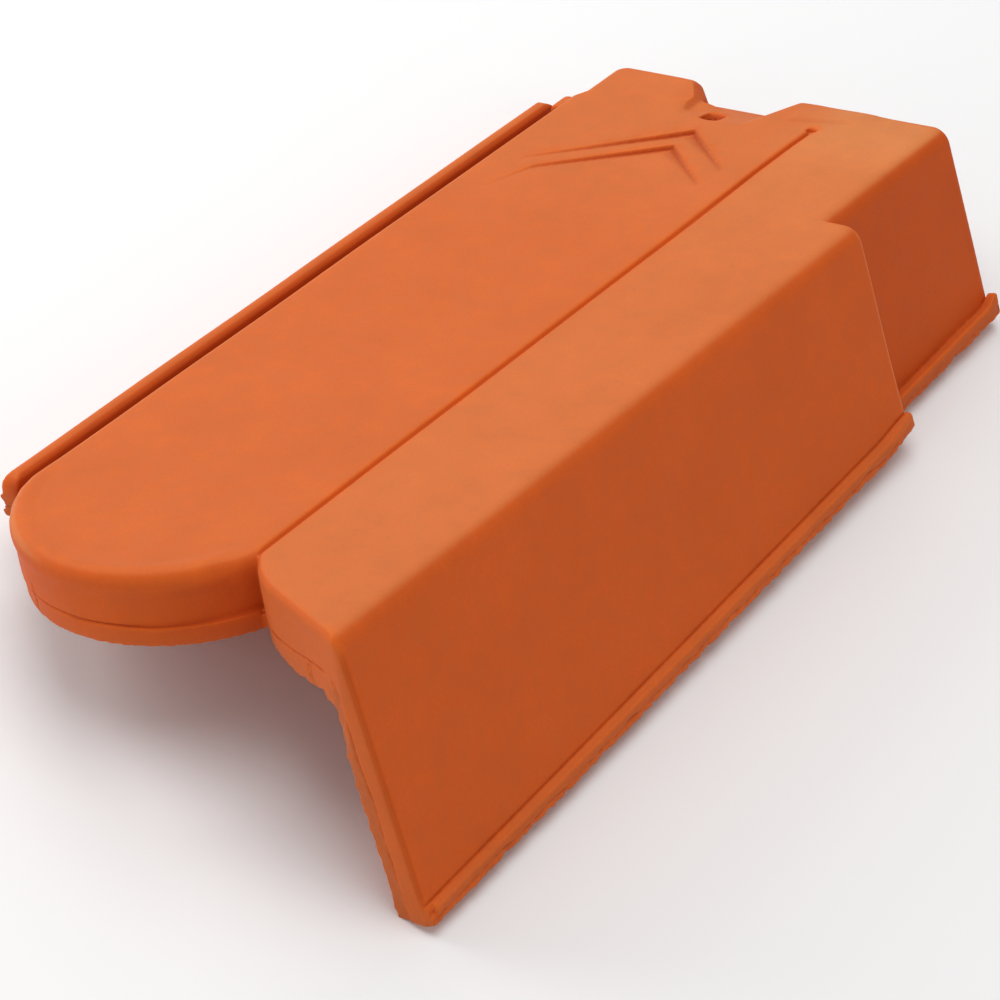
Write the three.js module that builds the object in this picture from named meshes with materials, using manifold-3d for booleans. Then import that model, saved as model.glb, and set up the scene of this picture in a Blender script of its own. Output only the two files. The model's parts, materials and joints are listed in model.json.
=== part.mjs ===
// Right-hand verge tile in natural red fired clay, pressed in one piece.
// A flat plate with a rounded tail and half a tail, a side lock on the left,
// and a deep verge wall on the right that covers the end of the roof.
// The tile is drawn on its own plate: x from the groove to the verge wall,
// y from the nose to the head, z up from the plate's top. It is then laid
// down on the three points that it rests on when it lies on a flat floor.

import * as THREE from 'three';
import { mergeVertices } from 'three/addons/utils/BufferGeometryUtils.js';
import { ConvexGeometry } from 'three/addons/geometries/ConvexGeometry.js';
import Module from 'manifold-3d';

const wasm = await Module();
wasm.setup();

// Plate and tails, in millimetres
const TAIL_WIDTH = 140;
const HEAD_Y = 442.5;
const PLATE_THICK = 13;
const SKIRT_DEPTH = 34;
const HALF_SKIRT_DEPTH = 36.5;
const SKIRT_THICK = 14;
const LEDGE_DEPTH = 24.4;
const LEDGE_TALL = 1;
const LEDGE_OUT = 2.2;
const HALF_LEDGE_IN = 0.45;
const NOSE_ROUND = 5;
const HALF_ROUND = 4.5;
const EDGE_ROUND = 2;
const CAVITY_ROUND = 4;
const CAVITY_DRAFT = 2;
const HEAD_CORNER = 5;
const LEFT_TAB_LONGER = 2;

// How far the two tails run into each other, and how far a cut runs past the face it cuts
const OVERLAP = 20;
const PAST = 20;

// Nose of the whole tail: one wide arc with a tighter left shoulder. Below the ledge, which
// the parting of the mould leaves, it sits a little further to the right and to the rear.
const NOSE = new THREE.Vector2(-68.3, 27);
const NOSE_RADIUS = 75.8;
const NOSE_SHIFT = new THREE.Vector2(2.3, 2);
const SHOULDER_RADIUS = 60;
const SHOULDER_END_Y = 60;
const NOSE_END_ANGLE = 338;

// Front of the half tail: a short arc that runs on as a straight line
const HALF_RADIUS = 54;
const HALF_START_ANGLE = 214;
const HALF_STRAIGHT_FROM = new THREE.Vector2(24, -25);
const HALF_CORNER_X = 71.5;
const WALL_FRONT_Y = -44.5;
const HALF_RIGHT = 140;

// Verge wall
const WALL_TOP_X = 74.3;
const WALL_THICK = 15.8;
const WALL_DRAFT = THREE.MathUtils.degToRad(9.5);
const WALL_ROUND = 9;
const WALL_INNER_ROUND = 7;
const WALL_FRONT_DROP = 136.7;
const WALL_HEAD_DROP = 97.5;
const STEP_Y = 340.4;
const STEP_INSIDE_Y = 331;
const RECESS_TOP_X = 59.1;
const RECESS_THICK = 13;
const RECESS_DRAFT = THREE.MathUtils.degToRad(8.3);
const WALL_END_ROUND = 3;

// Lip along the foot of the verge wall
const LIP_OUT = 3.2;
const LIP_SLOPE = 2.6;
const HEAD_LIP_OUT = 6;
const LIP_TALL = 7.7;
const LIP_ROUND = 2;
const LIP_UNDERCUT = 0.6;
const LIP_ROOT = 3;
const LIP_END_ROUND = 1;

// Side lock on the left
const LOCK_OUT_X = -164.2;
const RAIL_WIDE = 9.7;
const RAIL_TOP = -8;
const CHANNEL_FLOOR = -22;
const LOCK_FRONT_Y = 9;
const LOCK_HEAD_Y = 414;
const RAIL_END_ROUND = 9;
const LOCK_ROOT = 8;
const LOCK_ROUND = 1;
const CHANNEL_FILLET = 2;
const STOP = { wide: 10, fromY: 402, toY: 415, top: -5, round: 4, root: 4, endRound: 2 };
const HEAD_SIDE_IN = 3.5;

// Marks pressed into the top
const CENTRE_X = -57.5;
const GROOVE_WIDE = 3.4;
const GROOVE_DEEP = 2.2;
const GROOVE_HEAD_Y = 418;
const HOOK_LONG = 5.4;
const CHEVRON_DEEP = 1.7;
const CHEVRON_RAMP = 9;
const CHEVRON_SCARP = 0.8;
const CHEVRON_END_SHARE = 0.12;
const CHEVRONS = [
  { apex: [-56, 396], left: [[-120, 341]], right: [[-18, 365]] },
  { apex: [-56.5, 378.5], left: [[-109, 336], [-118, 312]], right: [[-20, 348.5]] },
];
const NAIL_HOLE = { y: 414, wide: 9.5, long: 7 };

// Scoop at the head, open to the rear, around the nail hole
const SCOOP_X = -56;
const SCOOP_TOP_HALF = 29.5;
const SCOOP_FLOOR_HALF = 17.8;
const SCOOP_DEEP = 6.4;
const SCOOP_NOTCH = 9.5;
const SCOOP_LONG = 24;

// Hanging nibs under the head
const NIB_XS = [-92, 8];
const NIB_WIDE = 34;
const NIB_LONG = 16;
const NIB_Y = 422;
const NIB_BOTTOM = -38;
const NIB_TAPER = 3;

const CLAY = new THREE.MeshStandardMaterial({ color: 0xdb7440, roughness: 0.85, metalness: 0 });

// A closed three.js geometry as a solid that can be joined and cut
function solid(geometry) {
  const bare = new THREE.BufferGeometry();
  bare.setAttribute('position', geometry.getAttribute('position'));
  if (geometry.index) bare.setIndex(geometry.index);
  const merged = mergeVertices(bare, 1e-4);
  const mesh = new wasm.Mesh({
    numProp: 3,
    vertProperties: new Float32Array(merged.getAttribute('position').array),
    triVerts: new Uint32Array(merged.index.array),
  });
  return new wasm.Manifold(mesh);
}

function union(pieces) {
  return pieces.reduce((whole, piece) => whole.add(piece));
}

// Points along an arc, angles in degrees, both ends included
function arc(centre, radius, from, to, steps) {
  const points = [];
  for (let k = 0; k <= steps; k += 1) {
    const angle = THREE.MathUtils.degToRad(from + ((to - from) * k) / steps);
    points.push(new THREE.Vector2(
      centre.x + radius * Math.cos(angle),
      centre.y + radius * Math.sin(angle),
    ));
  }
  return points;
}

// A slab with rounded or sloping sides: one outline per level, top level first
function slab(outlineAt, levels) {
  const loops = levels.map((level) => outlineAt(level.inset, level.shift));
  const count = loops[0].length;
  const positions = [];
  loops.forEach((loop, row) => {
    loop.forEach((point) => positions.push(point.x, point.y, levels[row].z));
  });
  const index = [];
  for (let row = 0; row + 1 < loops.length; row += 1) {
    for (let k = 0; k < count; k += 1) {
      const next = (k + 1) % count;
      const a = row * count + k;
      const b = row * count + next;
      index.push(a, a + count, b, b, a + count, b + count);
    }
  }
  const last = (loops.length - 1) * count;
  THREE.ShapeUtils.triangulateShape(loops[0], []).forEach(([a, b, c]) => index.push(a, b, c));
  THREE.ShapeUtils.triangulateShape(loops[loops.length - 1], []).forEach(([a, b, c]) => {
    index.push(last + a, last + c, last + b);
  });
  const geometry = new THREE.BufferGeometry();
  geometry.setAttribute('position', new THREE.Float32BufferAttribute(positions, 3));
  geometry.setIndex(index);
  return solid(geometry);
}

// A section drawn in x and z, run along y between two places, with rounded ends
function run(section, fromY, toY, endRound = 0) {
  const geometry = new THREE.ExtrudeGeometry(new THREE.Shape(section), {
    depth: toY - fromY - 2 * endRound,
    bevelEnabled: endRound > 0,
    bevelThickness: endRound,
    bevelSize: endRound,
    bevelOffset: -endRound,
    bevelSegments: 3,
  });
  geometry.rotateX(Math.PI / 2);
  geometry.translate(0, toY - endRound, 0);
  return geometry;
}

// Levels of a skirt: a quarter round at the top, then the sides with the mould's ledge
function skirtLevels(round, ledgeOut, depth) {
  const steps = 5;
  const levels = [];
  for (let k = 0; k <= steps; k += 1) {
    const turn = (Math.PI / 2) * (k / steps);
    levels.push({ z: -round * (1 - Math.cos(turn)), inset: round * (1 - Math.sin(turn)) });
  }
  levels.push({ z: -LEDGE_DEPTH, inset: 0 });
  levels.push({ z: -LEDGE_DEPTH - LEDGE_TALL, inset: -ledgeOut, shift: 1 });
  levels.push({ z: -depth, inset: -ledgeOut, shift: 1 });
  return levels;
}

// The edge along the head is tighter than the nose's
function headInset(inset) {
  return inset > 0 ? (inset * EDGE_ROUND) / NOSE_ROUND : 0;
}

// Outline of the whole tail, seen from above, with the scoop's notch in its head
function tailOutline(inset, shift = 0, behind = headInset(inset)) {
  const head = HEAD_Y - behind;
  const side = -TAIL_WIDTH + Math.max(inset, 0);
  const nose = NOSE.clone().addScaledVector(NOSE_SHIFT, shift);
  const shoulderX = -TAIL_WIDTH + shift * NOSE_SHIFT.x + SHOULDER_RADIUS;
  const reach = NOSE_RADIUS - SHOULDER_RADIUS;
  const shoulderY = nose.y - Math.sqrt(reach ** 2 - (shoulderX - nose.x) ** 2);
  const shoulder = new THREE.Vector2(shoulderX, shoulderY);
  const meet = THREE.MathUtils.radToDeg(Math.atan2(shoulderY - nose.y, shoulderX - nose.x)) + 360;
  const notch = head - SCOOP_NOTCH;
  const headSide = side + HEAD_SIDE_IN;
  const tabHead = head + LEFT_TAB_LONGER;
  const corner = new THREE.Vector2(headSide + HEAD_CORNER, tabHead - HEAD_CORNER);
  return [
    new THREE.Vector2(OVERLAP, head),
    new THREE.Vector2(SCOOP_X + SCOOP_TOP_HALF, head),
    new THREE.Vector2(SCOOP_X + SCOOP_FLOOR_HALF, notch),
    new THREE.Vector2(SCOOP_X - SCOOP_FLOOR_HALF, notch),
    new THREE.Vector2(SCOOP_X - SCOOP_TOP_HALF, tabHead),
    ...arc(corner, HEAD_CORNER, 90, 180, 4),
    new THREE.Vector2(headSide, STOP.toY),
    new THREE.Vector2(side, STOP.toY - 2 * HEAD_SIDE_IN),
    new THREE.Vector2(side, SHOULDER_END_Y),
    ...arc(shoulder, SHOULDER_RADIUS - inset, 180, meet, 4),
    ...arc(nose, NOSE_RADIUS - inset, meet, NOSE_END_ANGLE, 24).slice(1),
    new THREE.Vector2(OVERLAP, OVERLAP),
  ];
}

// Outline of the half tail and the wall's ground, open to the right
function halfOutline(inset, behind = headInset(inset)) {
  const corner = new THREE.Vector2(HALF_CORNER_X, WALL_FRONT_Y);
  const along = corner.clone().sub(HALF_STRAIGHT_FROM).normalize();
  const inward = new THREE.Vector2(-along.y, along.x);
  const centre = HALF_STRAIGHT_FROM.clone().addScaledVector(inward, HALF_RADIUS);
  const straightAngle = THREE.MathUtils.radToDeg(Math.atan2(-inward.y, -inward.x)) + 360;
  const front = WALL_FRONT_Y + Math.max(inset, 0);
  return [
    new THREE.Vector2(-OVERLAP, HEAD_Y - behind),
    new THREE.Vector2(-OVERLAP, OVERLAP),
    ...arc(centre, HALF_RADIUS - inset, HALF_START_ANGLE, straightAngle, 10),
    new THREE.Vector2(corner.x, front),
    new THREE.Vector2(HALF_RIGHT, front),
    new THREE.Vector2(HALF_RIGHT, HEAD_Y - behind),
  ];
}

// Everything to the left of a drafted wall face, from a depth far below up to a height
function leftOfFace(topX, draft, round, top) {
  const deep = 260;
  const far = -300;
  const slope = Math.tan(draft);
  const tangent = round * Math.tan(Math.PI / 4 - draft / 2);
  const faceX = topX - slope * top;
  const centre = new THREE.Vector2(faceX - tangent, top - round);
  return [
    new THREE.Vector2(far, -deep),
    new THREE.Vector2(topX + slope * deep, -deep),
    ...arc(centre, round, THREE.MathUtils.radToDeg(draft), 90, 7),
    new THREE.Vector2(far, top),
  ];
}

// The outside of the verge wall, stepped in at the head, as one long block
function outsideOfWall() {
  const face = leftOfFace(WALL_TOP_X, WALL_DRAFT, WALL_ROUND, 0);
  const recess = leftOfFace(RECESS_TOP_X, RECESS_DRAFT, WALL_ROUND, 0);
  const front = run(face, WALL_FRONT_Y, STEP_Y, WALL_END_ROUND);
  const head = run(recess, 0, HEAD_Y, WALL_END_ROUND);
  return solid(front).add(solid(head));
}

// The space inside the verge wall, below the plate
function insideOfWall() {
  const frontX = WALL_TOP_X - WALL_THICK / Math.cos(WALL_DRAFT);
  const recessX = RECESS_TOP_X - RECESS_THICK / Math.cos(RECESS_DRAFT);
  const front = leftOfFace(frontX, WALL_DRAFT, WALL_INNER_ROUND, -PLATE_THICK);
  const head = leftOfFace(recessX, RECESS_DRAFT, WALL_INNER_ROUND, -PLATE_THICK);
  const frontRun = run(front, WALL_FRONT_Y - PAST, STEP_INSIDE_Y, WALL_END_ROUND);
  return solid(frontRun).add(solid(run(head, 0, HEAD_Y + PAST)));
}

function wallDropAt(y) {
  const share = (y - WALL_FRONT_Y) / (HEAD_Y - WALL_FRONT_Y);
  return WALL_FRONT_DROP + (WALL_HEAD_DROP - WALL_FRONT_DROP) * share;
}

// The ground that the foot of the wall is trimmed to, sloping up to the head
function belowWall() {
  const rise = (WALL_FRONT_DROP - WALL_HEAD_DROP) / (HEAD_Y - WALL_FRONT_Y);
  const deep = 200;
  const block = new THREE.BoxGeometry(4 * TAIL_WIDTH, 3 * HEAD_Y, deep);
  block.translate(0, 0, -deep / 2);
  block.rotateX(Math.atan(rise));
  block.translate(0, WALL_FRONT_Y, -WALL_FRONT_DROP);
  return solid(block);
}

// One stretch of the lip, following the foot of the wall
function lip({ topX, draft, reach, slope }, fromY, toY) {
  const down = new THREE.Vector2(Math.sin(draft), -Math.cos(draft));
  const out = new THREE.Vector2(Math.cos(draft), Math.sin(draft));
  const foot = WALL_FRONT_DROP / Math.cos(draft);
  const place = (d, o) => new THREE.Vector2(topX, 0).addScaledVector(down, d).addScaledVector(out, o);
  const draftDegrees = THREE.MathUtils.radToDeg(draft);
  const edge = place(foot - LIP_TALL + LIP_ROUND, reach - LIP_ROUND);
  const section = [
    place(foot - LIP_TALL - slope, 0),
    place(foot - LIP_TALL - slope, -LIP_ROOT),
    place(foot + LIP_ROOT, -LIP_ROOT),
    place(foot, 0),
    place(foot - LIP_UNDERCUT, reach),
    ...arc(edge, LIP_ROUND, draftDegrees, 90 + draftDegrees, 3),
  ];
  const geometry = run(section, fromY, toY, LIP_END_ROUND);
  const rise = (WALL_FRONT_DROP - WALL_HEAD_DROP) / (HEAD_Y - WALL_FRONT_Y);
  const lean = -rise * Math.tan(draft);
  geometry.translate(0, -WALL_FRONT_Y, 0);
  geometry.applyMatrix4(new THREE.Matrix4().set(
    1, lean, 0, 0,
    0, 1, 0, 0,
    0, rise, 1, 0,
    0, 0, 0, 1,
  ));
  geometry.translate(0, WALL_FRONT_Y, 0);
  return solid(geometry);
}

// Plate, skirts and wall as one shell, open below
function shell() {
  const tailLevels = skirtLevels(NOSE_ROUND, LEDGE_OUT, SKIRT_DEPTH);
  const halfLevels = skirtLevels(HALF_ROUND, -HALF_LEDGE_IN, HALF_SKIRT_DEPTH);
  const cavity = [
    { z: -PLATE_THICK, inset: SKIRT_THICK + CAVITY_ROUND },
    { z: -PLATE_THICK - CAVITY_ROUND, inset: SKIRT_THICK },
    { z: -SKIRT_DEPTH - PAST, inset: SKIRT_THICK - CAVITY_DRAFT },
  ];
  const outside = outsideOfWall();
  const inside = insideOfWall();
  const tail = slab((inset, shift) => tailOutline(inset, shift), tailLevels);
  const half = slab((inset) => halfOutline(inset), halfLevels).intersect(outside);
  const tailSpace = slab((inset) => tailOutline(inset, 1, inset), cavity);
  const halfSpace = slab((inset) => halfOutline(inset, inset), cavity).intersect(inside);
  const plate = tail.add(half).subtract(tailSpace.add(halfSpace));

  const wallLevels = [
    { z: -NOSE_ROUND, inset: 0 },
    { z: -WALL_FRONT_DROP - PAST, inset: 0 },
  ];
  const wall = slab((inset) => halfOutline(inset), wallLevels);
  return plate.add(wall.intersect(outside).subtract(inside));
}

// Side view of the lock, with the ends of its rail rounded down
function lockProfile() {
  const foot = -SKIRT_DEPTH - PAST;
  const centreZ = RAIL_TOP - RAIL_END_ROUND;
  const rear = new THREE.Vector2(LOCK_HEAD_Y - RAIL_END_ROUND, centreZ);
  const front = new THREE.Vector2(LOCK_FRONT_Y + RAIL_END_ROUND, centreZ);
  const profile = new THREE.Shape([
    new THREE.Vector2(LOCK_FRONT_Y, foot),
    new THREE.Vector2(LOCK_HEAD_Y, foot),
    ...arc(rear, RAIL_END_ROUND, 0, 90, 5),
    ...arc(front, RAIL_END_ROUND, 90, 180, 5),
  ]);
  const wide = 3 * PAST;
  const geometry = new THREE.ExtrudeGeometry(profile, { depth: wide, bevelEnabled: false });
  geometry.rotateX(Math.PI / 2);
  geometry.rotateZ(Math.PI / 2);
  geometry.translate(LOCK_OUT_X - PAST, 0, 0);
  return solid(geometry);
}

// Side lock: a channel beside the plate with a rail on its far side
function sideLock() {
  const railInner = LOCK_OUT_X + RAIL_WIDE;
  const half = RAIL_WIDE / 2;
  const rootX = -TAIL_WIDTH + LOCK_ROOT;
  const section = [
    new THREE.Vector2(LOCK_OUT_X, -SKIRT_DEPTH),
    new THREE.Vector2(rootX, -SKIRT_DEPTH),
    new THREE.Vector2(rootX, CHANNEL_FLOOR),
    new THREE.Vector2(railInner + CHANNEL_FILLET, CHANNEL_FLOOR),
    new THREE.Vector2(railInner, CHANNEL_FLOOR + CHANNEL_FILLET),
    ...arc(new THREE.Vector2(railInner - half, RAIL_TOP - half), half, 0, 180, 6),
  ];
  const lock = solid(run(section, LOCK_FRONT_Y, LOCK_HEAD_Y, LOCK_ROUND));
  return lock.intersect(lockProfile()).add(channelStop());
}

// A low stop that closes the channel at its head
function channelStop() {
  const left = -TAIL_WIDTH - STOP.wide;
  const right = -TAIL_WIDTH + HEAD_SIDE_IN + STOP.root;
  const bottom = CHANNEL_FLOOR - STOP.root;
  const section = [
    new THREE.Vector2(left, bottom),
    new THREE.Vector2(right, bottom),
    new THREE.Vector2(right, STOP.top),
    ...arc(new THREE.Vector2(left + STOP.round, STOP.top - STOP.round), STOP.round, 90, 180, 3),
  ];
  return solid(run(section, STOP.fromY, STOP.toY, STOP.endRound));
}

// One straight stretch of a pressed V: a steep scarp to the rear and a soft ramp in front,
// as deep at each end as the given shares of the full depth
function chevronStretch(from, to, fromShare, toShare) {
  const points = [];
  [[from, fromShare], [to, toShare]].forEach(([[x, y], share]) => {
    const ramp = CHEVRON_RAMP * share;
    points.push(new THREE.Vector3(x, y, PAST));
    points.push(new THREE.Vector3(x, y, 0));
    points.push(new THREE.Vector3(x, y - CHEVRON_SCARP * share, -CHEVRON_DEEP * share));
    points.push(new THREE.Vector3(x, y - ramp, 0));
    points.push(new THREE.Vector3(x, y - ramp, PAST));
  });
  return solid(new ConvexGeometry(points));
}

// An arm of a pressed V, shallower and shallower away from its apex
function chevronArm(apex, stops) {
  const places = [apex, ...stops];
  const shareAt = (k) => 1 - ((1 - CHEVRON_END_SHARE) * k) / stops.length;
  return stops.map((stop, k) => chevronStretch(places[k], stop, shareAt(k), shareAt(k + 1)));
}

function pressedMarks() {
  const cuts = CHEVRONS.flatMap(({ apex, left, right }) => [
    ...chevronArm(apex, left),
    ...chevronArm(apex, right),
  ]);
  const half = GROOVE_WIDE / 2;
  const bottom = GROOVE_WIDE / 8;
  const grooveSection = [
    new THREE.Vector2(-half, 0),
    new THREE.Vector2(-bottom, -GROOVE_DEEP),
    new THREE.Vector2(bottom, -GROOVE_DEEP),
    new THREE.Vector2(half, 0),
    new THREE.Vector2(half, GROOVE_DEEP),
    new THREE.Vector2(-half, GROOVE_DEEP),
  ];
  cuts.push(solid(run(grooveSection, -PAST, GROOVE_HEAD_Y)));
  const hook = new THREE.BoxGeometry(HOOK_LONG, GROOVE_WIDE, 2 * GROOVE_DEEP);
  hook.translate(0, GROOVE_HEAD_Y - half, 0);
  cuts.push(solid(hook));
  return cuts;
}

// Scoop at the head: sloping floor and flanks, open to the rear
function scoop() {
  const flare = SCOOP_TOP_HALF - SCOOP_FLOOR_HALF;
  const extra = SCOOP_DEEP / 2;
  const wide = SCOOP_TOP_HALF + (flare * extra) / SCOOP_DEEP;
  const section = [
    new THREE.Vector2(-SCOOP_FLOOR_HALF, 0),
    new THREE.Vector2(SCOOP_FLOOR_HALF, 0),
    new THREE.Vector2(wide, SCOOP_DEEP + extra),
    new THREE.Vector2(-wide, SCOOP_DEEP + extra),
  ];
  const cut = run(section, 0, 2 * SCOOP_LONG);
  cut.rotateX(-Math.atan(SCOOP_DEEP / SCOOP_LONG));
  cut.translate(SCOOP_X, HEAD_Y - SCOOP_NOTCH - SCOOP_LONG, 0);
  return solid(cut);
}

function nailHole() {
  const hole = new THREE.BoxGeometry(NAIL_HOLE.wide, NAIL_HOLE.long, 2 * PLATE_THICK + PAST);
  hole.translate(CENTRE_X, NAIL_HOLE.y, 0);
  return solid(hole);
}

// A hanging nib: wider at its root
function nib(x) {
  const points = [];
  const halfWide = NIB_WIDE / 2;
  const halfLong = NIB_LONG / 2;
  for (const sx of [-1, 1]) {
    for (const sy of [-1, 1]) {
      points.push(new THREE.Vector3(x + sx * halfWide, NIB_Y + sy * halfLong, -PLATE_THICK / 2));
      const tipY = NIB_Y + sy * halfLong - (sy > 0 ? NIB_TAPER : 0);
      points.push(new THREE.Vector3(x + sx * (halfWide - NIB_TAPER), tipY, NIB_BOTTOM));
    }
  }
  return solid(new ConvexGeometry(points));
}

// The underside is open at the head, between the side lock and the wall
function headOpening() {
  const wide = 3 * TAIL_WIDTH;
  const long = 3 * PAST;
  const deep = 3 * PAST;
  const box = new THREE.BoxGeometry(wide, long, deep);
  box.translate(-TAIL_WIDTH + SKIRT_THICK + wide / 2, HEAD_Y, -PLATE_THICK - deep / 2);
  return solid(box).intersect(insideOfWall());
}

function tile() {
  const frontLip = { topX: WALL_TOP_X, draft: WALL_DRAFT, reach: LIP_OUT, slope: LIP_SLOPE };
  const headLip = { topX: RECESS_TOP_X, draft: RECESS_DRAFT, reach: HEAD_LIP_OUT, slope: 0 };
  const lips = [
    lip(frontLip, WALL_FRONT_Y + LIP_END_ROUND, STEP_Y + LIP_END_ROUND),
    lip(headLip, STEP_Y - LIP_ROOT, HEAD_Y),
  ];
  const raised = union([shell().subtract(headOpening()), sideLock(), ...lips, ...NIB_XS.map(nib)]);
  const cuts = union([...pressedMarks(), scoop(), nailHole(), belowWall()]);
  return raised.subtract(cuts);
}

// Inner corner of the wall's foot at a place along the tile
function wallToe(topX, thick, draft, y) {
  const drop = wallDropAt(y);
  const inner = topX - thick / Math.cos(draft);
  return new THREE.Vector3(inner + drop * Math.tan(draft), y, -drop);
}

function geometryOf(manifold) {
  const mesh = manifold.getMesh();
  const geometry = new THREE.BufferGeometry();
  geometry.setAttribute('position', new THREE.BufferAttribute(mesh.vertProperties, 3));
  geometry.setIndex(new THREE.BufferAttribute(mesh.triVerts, 1));
  return geometry;
}

// Lay the tile on its front toe, its step toe and the heel of its side lock
const frontToe = wallToe(WALL_TOP_X, WALL_THICK, WALL_DRAFT, WALL_FRONT_Y);
const stepToe = wallToe(RECESS_TOP_X, RECESS_THICK, RECESS_DRAFT, STEP_INSIDE_Y);
const lockHeel = new THREE.Vector3(LOCK_OUT_X, LOCK_HEAD_Y - LOCK_ROUND, -SKIRT_DEPTH);
const floorNormal = stepToe.clone().sub(frontToe).cross(lockHeel.clone().sub(frontToe)).normalize();

const vergeTile = new THREE.Mesh(geometryOf(tile()), CLAY);
vergeTile.name = 'verge_tile';
const laid = new THREE.Group();
laid.quaternion.setFromUnitVectors(floorNormal, new THREE.Vector3(0, 0, 1));
laid.add(vergeTile);
laid.updateMatrixWorld(true);
const box = new THREE.Box3().setFromObject(laid, true);
const middle = box.getCenter(new THREE.Vector3());
laid.position.set(-middle.x, -middle.y, -box.min.z);

const part = new THREE.Group();
part.add(laid);

export default part;
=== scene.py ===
# %% [markdown]
# # A right-hand verge tile in fired clay
#
# A verge tile closes the open side of a tiled roof. It is one pressed piece of clay: a flat plate
# with a round tail, half a tail beside it, a side lock on the left and a deep wall on the right.
# The exact solid is already there, so this lesson makes its skin: soft pressed edges, the ragged
# rims that trimming leaves, and the mottled matte colour of unglazed fired clay.

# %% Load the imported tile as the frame
import json
import math

import bmesh
import bpy
import numpy as np
from mathutils import Matrix, Vector, noise


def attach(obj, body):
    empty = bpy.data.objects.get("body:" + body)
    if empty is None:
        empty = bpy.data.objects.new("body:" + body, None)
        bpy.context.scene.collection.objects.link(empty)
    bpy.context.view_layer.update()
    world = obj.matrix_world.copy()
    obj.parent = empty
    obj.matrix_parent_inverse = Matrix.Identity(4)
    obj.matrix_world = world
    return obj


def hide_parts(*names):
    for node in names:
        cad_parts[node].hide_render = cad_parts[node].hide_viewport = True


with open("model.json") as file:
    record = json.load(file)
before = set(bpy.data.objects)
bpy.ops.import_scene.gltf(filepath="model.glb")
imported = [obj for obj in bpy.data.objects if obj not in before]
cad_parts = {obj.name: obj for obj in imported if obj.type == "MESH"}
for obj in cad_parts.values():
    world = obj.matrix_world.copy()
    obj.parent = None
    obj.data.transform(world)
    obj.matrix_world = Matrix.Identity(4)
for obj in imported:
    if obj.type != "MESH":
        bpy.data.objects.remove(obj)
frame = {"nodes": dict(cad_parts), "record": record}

scene = bpy.context.scene
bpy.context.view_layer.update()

# %% [markdown]
# ## The tile's own axes
#
# The tile lies askew on the floor, on the foot of its wall and on the heel of its side lock.
# Its shape is far easier to describe on its own plate: x to the right from the joint between the
# two tails, y from the nose to the head, z up from the plate's top, all in millimetres.
# The record says which way the plate's top faces. The shortest turn that levels it, and the
# outermost points of the levelled solid, give the matrix between the two frames.

# %% Matrices between the floor's frame and the plate's
MM = 0.001
LOCK_LEFT_X = -164.2
HEAD_REAR_Y = 444.5

tile_node = frame["nodes"]["verge_tile"]
plate_top = next(m for m in frame["record"]["mounts"] if m["name"] == "plate_top")
level = Vector(plate_top["axis"]).rotation_difference(Vector((0, 0, 1))).to_matrix().to_4x4()
levelled = np.array([level @ v.co for v in tile_node.data.vertices])
plate_origin = Vector((
    levelled[:, 0].min() - LOCK_LEFT_X * MM,
    levelled[:, 1].max() - HEAD_REAR_Y * MM,
    levelled[:, 2].max(),
))
to_plate = Matrix.Scale(1 / MM, 4) @ Matrix.Translation(-plate_origin) @ level
to_floor = to_plate.inverted()
print("plate origin on the floor, mm:", [round(c / MM, 1) for c in to_floor.translation])

# %% [markdown]
# ## A dense skin over the solid
#
# The solid is made of a few large triangles with hard corners. A pressed tile has no hard corner:
# wet clay does not fill a mould's sharp edges. Bevelling hundreds of cut edges one by one would
# break where cuts meet, so the copy is rebuilt instead as an even net of small squares by a
# voxel Remesh, and a few rounds of Smooth then take every edge back to a soft round.

# %% Helpers that read and write points, and bake modifiers into a mesh
def points_of(mesh):
    flat = np.empty(3 * len(mesh.vertices), np.float32)
    mesh.vertices.foreach_get("co", flat)
    return flat.reshape(-1, 3).astype(float)


def normals_of(mesh):
    flat = np.empty(3 * len(mesh.vertices), np.float32)
    mesh.vertex_normals.foreach_get("vector", flat)
    return flat.reshape(-1, 3).astype(float)


def set_points(mesh, points):
    mesh.vertices.foreach_set("co", points.astype(np.float32).ravel())
    mesh.update()


def apply_modifiers(piece):
    depsgraph = bpy.context.evaluated_depsgraph_get()
    shown = piece.evaluated_get(depsgraph)
    baked = bpy.data.meshes.new_from_object(
        shown, preserve_all_data_layers=True, depsgraph=depsgraph
    )
    piece.modifiers.clear()
    piece.data = baked


# %% Copy the solid, merge its loose triangles and remesh it
MERGE_WITHIN = 0.01
VOXEL = 0.7
SMOOTH_FACTOR = 0.5
EDGE_SMOOTHING = 2

bm = bmesh.new()
bm.from_mesh(tile_node.data)
bmesh.ops.remove_doubles(bm, verts=bm.verts, dist=MERGE_WITHIN * MM)
bmesh.ops.transform(bm, matrix=to_plate, verts=bm.verts)
skin_mesh = bpy.data.meshes.new("pressed_clay_skin")
bm.to_mesh(skin_mesh)
bm.free()

tile = bpy.data.objects.new("verge_tile_clay", skin_mesh)
scene.collection.objects.link(tile)
remesh = tile.modifiers.new("even net", "REMESH")
remesh.mode = "VOXEL"
remesh.voxel_size = VOXEL
soften = tile.modifiers.new("soft edges", "SMOOTH")
soften.factor = SMOOTH_FACTOR
soften.iterations = EDGE_SMOOTHING
apply_modifiers(tile)
print("skin:", len(tile.data.vertices), "points")

# %% [markdown]
# ## Where the mould was softer
#
# Some places are rounder than the rest: the dish around the nail hole flows into the plate, the
# upper edges of both tails are full rounds, and the front corner of the wall is well rubbed. A
# vertex group says how much each point takes part, and a second Smooth modifier that reads the
# group rounds only these places. Weights could be painted by hand. Here they are worked out from
# each point's place, by soft steps from 0 to 1 between two values, multiplied with each other.

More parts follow.
